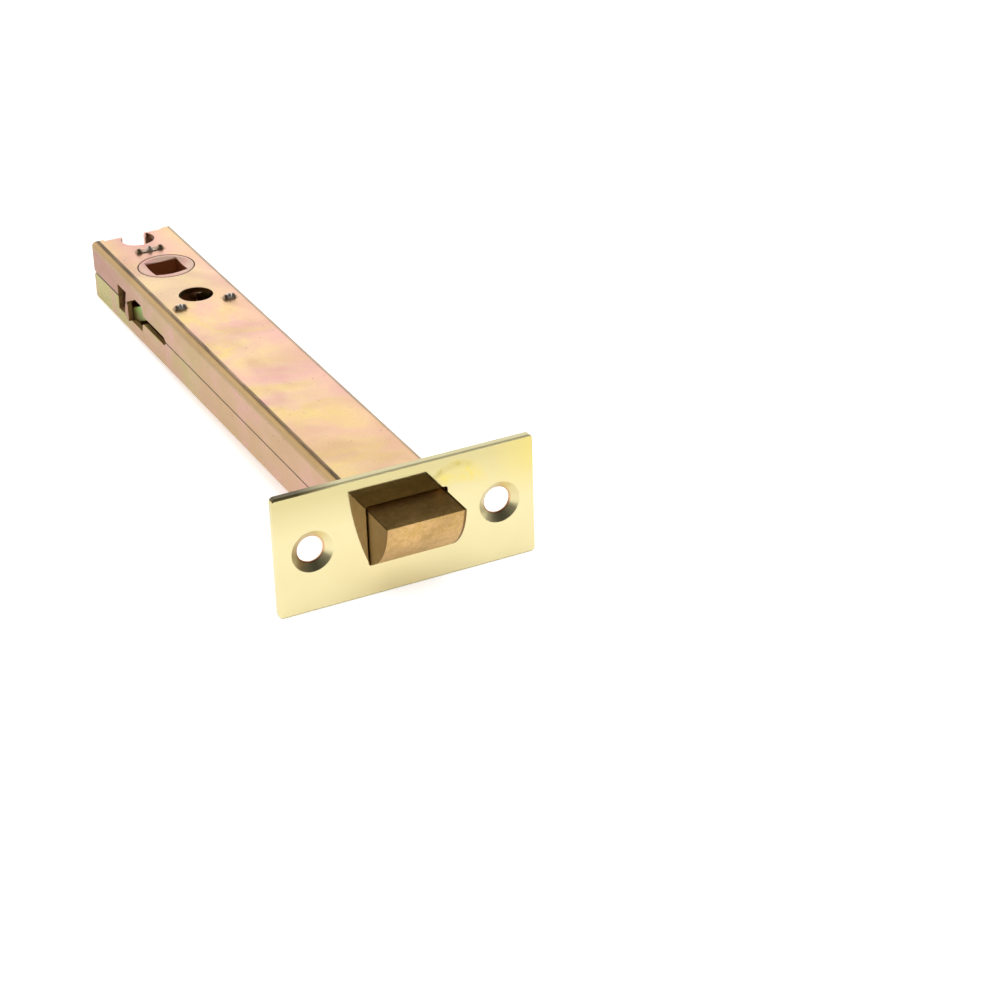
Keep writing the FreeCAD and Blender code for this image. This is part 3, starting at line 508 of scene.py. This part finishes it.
def polished_brass(look):
    """Mirror-polished pale brass with a heat stain and copper at the holes' rims."""
    finish = Finish("polished_brass", 1.0, look.roughness)
    x, _, z = finish.axes()
    across = finish.size(x)
    height = finish.size(z)
    clouds = finish.ramp(finish.noise(40, 3, 0.5), [(0.35, 0.0), (0.7, 0.3)])
    body = finish.mix(clouds, look.pale, look.deep)
    # Painted shade: the face turns to deep brass towards its top.
    body = finish.mix(finish.ramp(z, [(0.003, 0.0), (0.012, 0.85)]), body, look.deep)
    body, stain = heat_stain(finish, look, x, z, body)
    yellowed = finish.times(finish.ramp(x, [(0.018, 0.0), (0.027, 0.5)]),
                            finish.ramp(z, [(0.0, 0.0), (0.008, 1.0)]))
    body = finish.mix(yellowed, body, look.heat)
    radius = finish.distance(finish.calculate("SUBTRACT", across, SCREW_X), z)
    rim = finish.times(finish.band(radius, SCREW_RIM, SCREW_RIM_REACH), 1.6, clamp=True)
    sink = finish.below(radius, SINK_RADIUS)
    body = finish.mix(finish.times(rim, 0.85), body, look.copper)
    cut = finish.above(height, PLATE_EDGE_Z)
    body = finish.mix(cut, body, look.edge)
    left_end = finish.times(finish.band(x, PLATE_LEFT_X, GLINT_REACH), 1.6, clamp=True)
    body = finish.mix(finish.times(finish.above(z, GLINT_Z), left_end), body, look.shade)
    finish.colour(body)
    lines = finish.noise(1500, 2, 0.5, 0.0, finish.stretched((0.02, 1.0, 1.0)))
    worn = finish.ramp(lines, [(0.66, look.roughness), (0.78, look.roughness + 0.07)])
    bare = finish.calculate("SUBTRACT", 1.0, finish.times(cut, 0.4))
    finish.link(bare, finish.shader.inputs["Metallic"])
    rubbed = finish.above(height, RUBBED_Z)
    brushed = finish.either(finish.either(sink, rubbed), finish.times(stain, 0.8))
    finish.rough(finish.mix(brushed, worn, look.roughness + 0.26))
    finish.relief(finish.noise(50, 1), 0.00012, 0.2, 0.0002)
    return finish


def sintered_bronze(look):
    """Pressed and sintered bronze: brown, matte and finely speckled, with painted shade on its
    side faces.
    """
    finish = Finish("sintered_bronze", 0.97, look.roughness)
    grain = finish.cells(3400)
    tone = finish.noise(900, 3, 0.75)
    wide = finish.noise(90, 3, 0.6)
    body = finish.mix(finish.ramp(tone, [(0.42, 0.0), (0.60, 1.0)]), look.face, look.speckle)
    body = finish.mix(finish.ramp(wide, [(0.42, 0.0), (0.7, 0.35)]), body, look.pore_and_flank_shade)
    # Painted shade: the bolt's side faces, in the gap beside the plate, take the pore colour.
    shaded_flank = finish.above(finish.size(finish.axes()[0]), BOLT_FLANK_X)
    body = finish.mix(finish.times(shaded_flank, 0.83), body, look.pore_and_flank_shade)
    pores = finish.ramp(grain, [(0.08, 1.0), (0.30, 0.0)])
    body = finish.mix(finish.times(pores, 0.7), body, look.pore_and_flank_shade)
    finish.colour(body)
    finish.rough(finish.ramp(tone, [(0.3, look.roughness - 0.05), (0.7, look.roughness + 0.14)]))
    finish.relief(grain, 0.00006, 0.5, 0.00022)
    return finish


def plain_metal(name, colour, roughness):
    """Turned, drawn or pressed steel with a fine grain and a little tarnish."""
    finish = Finish(name, 0.95, roughness)
    tarnish = finish.noise(240, 4, 0.6, 0.4)
    shade = tuple(channel * 0.6 for channel in colour)
    spots = finish.times(finish.ramp(tarnish, [(0.4, 0.0), (0.7, 1.0)]), 0.5)
    body = finish.mix(spots, colour, shade)
    finish.colour(body)
    finish.rough(finish.ramp(tarnish, [(0.3, roughness - 0.06), (0.7, roughness + 0.12)]))
    finish.relief(finish.noise(900, 2), 0.00005, 0.35, 0.00015)
    return finish


def wound_wire(name, front, rear, mean, wire, turns, steps, share=(0, 1)):
    """Round-wire compression spring with flat end turns, or a share of its turns."""
    length = rear - front - wire
    rings = int(turns * steps)
    sides = WIRE_SIDES
    curve = []
    for index in range(rings + 1):
        turn = index / steps
        risen = min(max((turn - FLAT_TURN) / (turns - 2 * FLAT_TURN), 0), 1)
        along = front + wire / 2 + wire * min(turn, FLAT_TURN)
        along += risen * (length - 2 * FLAT_TURN * wire)
        along += wire * max(turn - (turns - FLAT_TURN), 0)
        angle = 2 * math.pi * turn
        along = min(along, rear - wire / 2)
        curve.append(Vector((mean / 2 * math.cos(angle), along, -mean / 2 * math.sin(angle))))
    first, last = (round(part * rings) for part in share)
    points = []
    for index, middle in list(enumerate(curve))[first:last + 1]:
        ahead = curve[min(index + 1, rings)] - curve[max(index - 1, 0)]
        out = Vector((middle.x, 0, middle.z)).normalized()
        other = ahead.normalized().cross(out)
        for side in range(sides):
            angle = 2 * math.pi * side / sides
            points.append(middle + (out * math.cos(angle) + other * math.sin(angle)) * wire / 2)
    faces = [
        (ring * sides + side, ring * sides + (side + 1) % sides,
         (ring + 1) * sides + (side + 1) % sides, (ring + 1) * sides + side)
        for ring in range(last - first) for side in range(sides)
    ]
    faces.append(tuple(range(sides)))
    faces.append(tuple(reversed(range((last - first) * sides, (last - first + 1) * sides))))
    mesh = bpy.data.meshes.new(name)
    mesh.from_pydata([tuple(p) for p in points], [], faces)
    mesh.validate()
    mesh.polygons.foreach_set("use_smooth", [len(f) == 4 for f in faces])
    mesh.update()
    piece = bpy.data.objects.new(name, mesh)
    bpy.context.scene.collection.objects.link(piece)
    return piece


def follower_finish(look, case):
    """Plated like the case on its two round faces, with painted shade in dark brown inside its
    square hole and round their edges.
    """
    finish = Finish("follower_zinc", 0.7, 0.48)
    x, y, z = finish.axes()
    cloud = finish.noise(150, 3, 0.6, 0.5)
    body = finish.mix(finish.ramp(cloud, [(0.4, 0.0), (0.65, 1.0)]), look.hub, case.rose)
    radius = finish.distance(x, finish.calculate("SUBTRACT", y, SPINDLE_Y))
    # Painted shade: the chamfer round each round face is painted dark brown.
    body = finish.mix(finish.above(radius, JOURNAL_RING), body, case.fold_brown)
    # Painted shade: the square hole's walls, between the round faces, are painted dark brown.
    body = finish.mix(finish.below(finish.size(z), JOURNAL_FACE_Z), body, look.bore_shade)
    finish.colour(body)
    finish.relief(finish.noise(700, 2), 0.00005, 0.4, 0.0002)
    return finish


def green_zinc(look):
    """Green zinc on the yoke's arms, with painted shade in dark brown on its lower legs."""
    finish = Finish("green_zinc", 0.8, 0.34)
    z = finish.axes()[2]
    cloud = finish.noise(240, 4, 0.6, 0.4)
    paler = tuple(0.1 + 0.9 * channel for channel in look.green)
    body = finish.mix(finish.ramp(cloud, [(0.4, 0.0), (0.7, 0.4)]), look.green, paler)
    # Painted shade: the lower legs, seen through the lower window, are painted dark brown.
    legs = finish.ramp(finish.calculate("ADD", z, 0.01), [(0.0076, 1.0), (0.0083, 0.0)])
    finish.colour(finish.mix(legs, body, look.leg_shade))
    finish.rough(finish.ramp(cloud, [(0.3, 0.28), (0.7, 0.46)]))
    finish.relief(finish.noise(900, 2), 0.00005, 0.35, 0.00015)
    return finish


def staked_steel(look, case):
    """Painted highlight on the punched ridge in the middle of each tenon, between swollen ends in
    painted shade.
    """
    finish = Finish("bright_steel", 1.0, 0.2)
    x, _, z = finish.axes()
    across = finish.size(x)
    front = finish.band(across, FRONT_TENON_X, FRONT_RIDGE)
    middle = finish.times(finish.band(across, 0.0, MIDDLE_RIDGE), 0.35)
    ridge = finish.times(finish.either(front, middle), 1.6, clamp=True)
    worn = finish.noise(900, 3, 0.6)
    # Painted highlight on the ridge, broken up by noise; the rest in painted shade.
    shown = finish.times(ridge, finish.ramp(worn, [(0.3, 0.6), (0.6, 1.0)]))
    body = finish.mix(shown, look.shaded_steel, look.bright)
    unstaked = finish.below(finish.size(z), STAKED_Z)
    finish.colour(finish.mix(unstaked, body, case.sand))
    finish.rough(finish.ramp(worn, [(0.3, 0.22), (0.7, 0.45)]))
    finish.relief(finish.noise(1300, 2), 0.00008, 0.5, 0.0002)
    return finish


class LATCH_OT_case(bpy.types.Operator):
    """Give the two halves of the case their plated finish"""

    bl_idname = "latch.case"
    bl_label = "Case"

    def execute(self, context):
        look = context.scene.latch_case
        zinc_case("yellow_zinc_upper", look, False).give("case_upper")
        zinc_case("yellow_zinc_lower", look, True).give("case_lower")
        return {"FINISHED"}


class LATCH_OT_faceplate(bpy.types.Operator):
    """Give the faceplate its polished brass"""

    bl_idname = "latch.faceplate"
    bl_label = "Faceplate"

    def execute(self, context):
        polished_brass(context.scene.latch_brass).give("faceplate")
        return {"FINISHED"}


class LATCH_OT_bolt(bpy.types.Operator):
    """Give the bolt its sintered bronze"""

    bl_idname = "latch.bolt"
    bl_label = "Bolt"

    def execute(self, context):
        sintered_bronze(context.scene.latch_bolt).give("latch_bolt")
        return {"FINISHED"}


class LATCH_OT_works(bpy.types.Operator):
    """Give the follower, yoke, cross plates and tail their metals"""

    bl_idname = "latch.works"
    bl_label = "Works"

    def execute(self, context):
        look = context.scene.latch_inner
        follower_finish(look, context.scene.latch_case).give("follower")
        green_zinc(look).give("yoke")
        staked_steel(look, context.scene.latch_case).give("abutment_plate", "rear_spacer")
        plain_metal("turned_steel", (0.55, 0.54, 0.52), 0.28).give("tail_rod", "spring_collar")
        plain_metal("pin_steel", (0.22, 0.21, 0.20), 0.4).give("tail_pin", "collar_clip")
        return {"FINISHED"}


class LATCH_OT_springs(bpy.types.Operator):
    """Wind the bolt spring and the return spring"""

    bl_idname = "latch.springs"
    bl_label = "Springs"

    def execute(self, context):
        look = context.scene.latch_inner
        steel = plain_metal("spring_wire", tuple(look.wire), 0.3)
        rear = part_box("abutment_plate")[0].y

        def wind(name, node, *shape):
            """One coil in place of a CAD spring."""
            piece = wound_wire(name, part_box(node)[0].y, rear, *shape)
            piece.data.materials.append(steel.material)
            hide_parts(node)
            return piece

        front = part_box("return_spring")[0].y
        heavy = wind("heavy_return_coil", "return_spring", *RETURN_COIL, look.coil_steps)
        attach(heavy, "case")
        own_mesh(heavy)

        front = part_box("bolt_spring")[0].y
        middle = (front + rear) / 2
        for word, share, bodies, start, end in (
            ("front", (0, 0.5), ("yoke", "bolt"), middle, front),
            ("rear", (0.5, 1), ("case", "yoke"), rear, middle),
        ):
            name = f"light_bolt_coil_{word}"
            light = wind(name, "bolt_spring", *BOLT_COIL, look.coil_steps, share)
            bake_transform(light)
        return {"FINISHED"}


def add_lamp(name, place, target, size, power):
    """A soft rectangular lamp at a place, turned to a target."""
    data = bpy.data.lights.new(name, "AREA")
    data.shape = "RECTANGLE"
    data.size, data.size_y = size
    data.energy = power
    lamp = bpy.data.objects.new(name, data)
    bpy.context.scene.collection.objects.link(lamp)
    lamp.visible_glossy = False
    turn = (Vector(target) - Vector(place)).to_track_quat("-Z", "Y")
    lamp.matrix_world = Matrix.Translation(place) @ turn.to_matrix().to_4x4()


def light_room(scene, look):
    """White wall behind and beside the latch, with a darker ceiling and a dark viewer's side."""
    world = bpy.data.worlds.new("white_room")
    scene.world = world
    world.use_nodes = True
    tree = world.node_tree
    tree.nodes.clear()
    place = tree.nodes.new("ShaderNodeTexCoord")
    parts = tree.nodes.new("ShaderNodeSeparateXYZ")
    tree.links.new(place.outputs["Generated"], parts.inputs["Vector"])

    def spread(axis, first, last, low, high):
        """A level that goes smoothly from low to high along an axis."""
        node = tree.nodes.new("ShaderNodeMapRange")
        node.interpolation_type = "SMOOTHSTEP"
        limits = {"From Min": first, "From Max": last, "To Min": low, "To Max": high}
        for word, value in limits.items():
            node.inputs[word].default_value = value
        tree.links.new(parts.outputs[axis], node.inputs["Value"])
        return node.outputs["Result"]

    def product(first, second):
        """One level multiplied by another, or by a number."""
        node = tree.nodes.new("ShaderNodeMath")
        node.operation = "MULTIPLY"
        tree.links.new(first, node.inputs[0])
        if isinstance(second, float):
            node.inputs[1].default_value = second
        else:
            tree.links.new(second, node.inputs[1])
        return node.outputs["Value"]

    wall = spread("Y", *WALL_TURN, look.near_side, 1.0)
    ceiling = spread("Z", *CEILING_TURN, 1.0, look.ceiling)
    level = product(product(wall, ceiling), look.wall)
    path = tree.nodes.new("ShaderNodeLightPath")
    final = tree.nodes.new("ShaderNodeMix")
    final.data_type = "FLOAT"
    tree.links.new(path.outputs["Is Camera Ray"], final.inputs[0])
    tree.links.new(level, final.inputs[2])
    final.inputs[3].default_value = 1.0
    back = tree.nodes.new("ShaderNodeBackground")
    back.inputs["Color"].default_value = (1, 1, 1, 1)
    tree.links.new(final.outputs[0], back.inputs["Strength"])
    out = tree.nodes.new("ShaderNodeOutputWorld")
    tree.links.new(back.outputs["Background"], out.inputs["Surface"])


def white_floor(look):
    """Matte white floor that the eye and polished faces see lighter, most so at its far end."""
    white = bpy.data.materials.new("floor_white")
    white.use_nodes = True
    tree = white.node_tree
    tree.nodes.clear()
    matte = tree.nodes.new("ShaderNodeBsdfDiffuse")
    matte.inputs["Color"].default_value = (look.floor_white,) * 3 + (1,)
    glow = tree.nodes.new("ShaderNodeEmission")
    glow.inputs["Color"].default_value = (1, 1, 1, 1)
    path = tree.nodes.new("ShaderNodeLightPath")
    level = tree.nodes.new("ShaderNodeMath")
    level.operation = "MULTIPLY"
    place = tree.nodes.new("ShaderNodeTexCoord")
    distance = tree.nodes.new("ShaderNodeVectorMath")
    distance.operation = "LENGTH"
    lift = tree.nodes.new("ShaderNodeMapRange")
    lift.inputs["From Min"].default_value = FAR_FLOOR_START
    lift.inputs["From Max"].default_value = FAR_FLOOR_FULL
    lift.inputs["To Min"].default_value = look.floor_glow
    lift.inputs["To Max"].default_value = look.floor_glow + look.far_glow
    total = tree.nodes.new("ShaderNodeMath")
    total.operation = "MULTIPLY_ADD"
    total.inputs[1].default_value = look.mirror_glow
    add = tree.nodes.new("ShaderNodeAddShader")
    out = tree.nodes.new("ShaderNodeOutputMaterial")
    tree.links.new(place.outputs["Object"], distance.inputs[0])
    tree.links.new(distance.outputs["Value"], lift.inputs["Value"])
    tree.links.new(path.outputs["Is Camera Ray"], level.inputs[0])
    tree.links.new(lift.outputs["Result"], level.inputs[1])
    tree.links.new(path.outputs["Is Glossy Ray"], total.inputs[0])
    tree.links.new(level.outputs["Value"], total.inputs[2])
    tree.links.new(total.outputs["Value"], glow.inputs["Strength"])
    tree.links.new(matte.outputs["BSDF"], add.inputs[0])
    tree.links.new(glow.outputs["Emission"], add.inputs[1])
    tree.links.new(add.outputs["Shader"], out.inputs["Surface"])
    return white


class LATCH_OT_stage(bpy.types.Operator):
    """Lay the floor and set up the lamps and the camera"""

    bl_idname = "latch.stage"
    bl_label = "Stage"

    def execute(self, context):
        look = context.scene.latch_stage
        scene = context.scene
        scene.view_settings.view_transform = "Standard"
        slope = (CASE_FOOT.z - PLATE_FOOT.z) / (CASE_FOOT.y - PLATE_FOOT.y)
        reach = look.floor_reach
        corners = [(x * reach, y * reach, PLATE_FOOT.z + slope * (y * reach - PLATE_FOOT.y))
                   for x, y in ((-1, -1), (1, -1), (1, 1), (-1, 1))]
        mesh = bpy.data.meshes.new("floor")
        mesh.from_pydata(corners, [], [(0, 1, 2, 3)])
        floor = bpy.data.objects.new("floor", mesh)
        scene.collection.objects.link(floor)
        floor.data.materials.append(white_floor(look))
        light_room(scene, look)
        add_lamp("overhead_softbox", LAMP_PLACE, LAMP_TARGET, LAMP_SIZE, look.softbox)

        right, down, ahead = (Vector(row) for row in CAMERA_ROWS)
        turn = Matrix((right, -down, -ahead)).transposed().to_4x4()
        data = bpy.data.cameras.new("photo_camera")
        data.sensor_width = SENSOR_WIDTH
        data.lens = look.lens
        data.clip_start, data.clip_end = CLIP
        camera = bpy.data.objects.new("photo_camera", data)
        scene.collection.objects.link(camera)
        camera.matrix_world = Matrix.Translation(CAMERA_PLACE) @ turn
        scene.camera = camera
        return {"FINISHED"}


class LATCH_PT_panel(bpy.types.Panel):
    """Sizes, colours and steps of the latch"""

    bl_idname = "LATCH_PT_panel"
    bl_label = "Door latch"
    bl_space_type = "VIEW_3D"
    bl_region_type = "UI"
    bl_category = "Latch"

    def draw(self, context):
        for word, _ in SETTINGS:
            box = self.layout.box()
            group = getattr(context.scene, word)
            for name in group.bl_rna.properties.keys():
                if name not in ("rna_type", "name"):
                    box.prop(group, name)
        for step in STEPS:
            self.layout.operator(step.bl_idname)


SETTINGS = (
    ("latch_case", LatchCaseFinish),
    ("latch_brass", LatchBrassFinish),
    ("latch_bolt", LatchBoltFinish),
    ("latch_inner", LatchInnerFinish),
    ("latch_stage", LatchStage),
)
STEPS = (
    LATCH_OT_case, LATCH_OT_faceplate, LATCH_OT_bolt,
    LATCH_OT_works, LATCH_OT_springs, LATCH_OT_stage,
)


def register():
    """Add the latch's settings, steps and panel."""
    for word, group in SETTINGS:
        bpy.utils.register_class(group)
        setattr(bpy.types.Scene, word, PointerProperty(type=group))
    for step in (*STEPS, LATCH_PT_panel):
        bpy.utils.register_class(step)


def unregister():
    """Take them away again."""
    for step in reversed((*STEPS, LATCH_PT_panel)):
        bpy.utils.unregister_class(step)
    for word, group in reversed(SETTINGS):
        delattr(bpy.types.Scene, word)
        bpy.utils.unregister_class(group)


def main():
    """Build the scene step by step."""
    register()
    for step in STEPS:
        getattr(bpy.ops.latch, step.bl_idname.split(".")[1])()


if __name__ == "__main__":
    main()
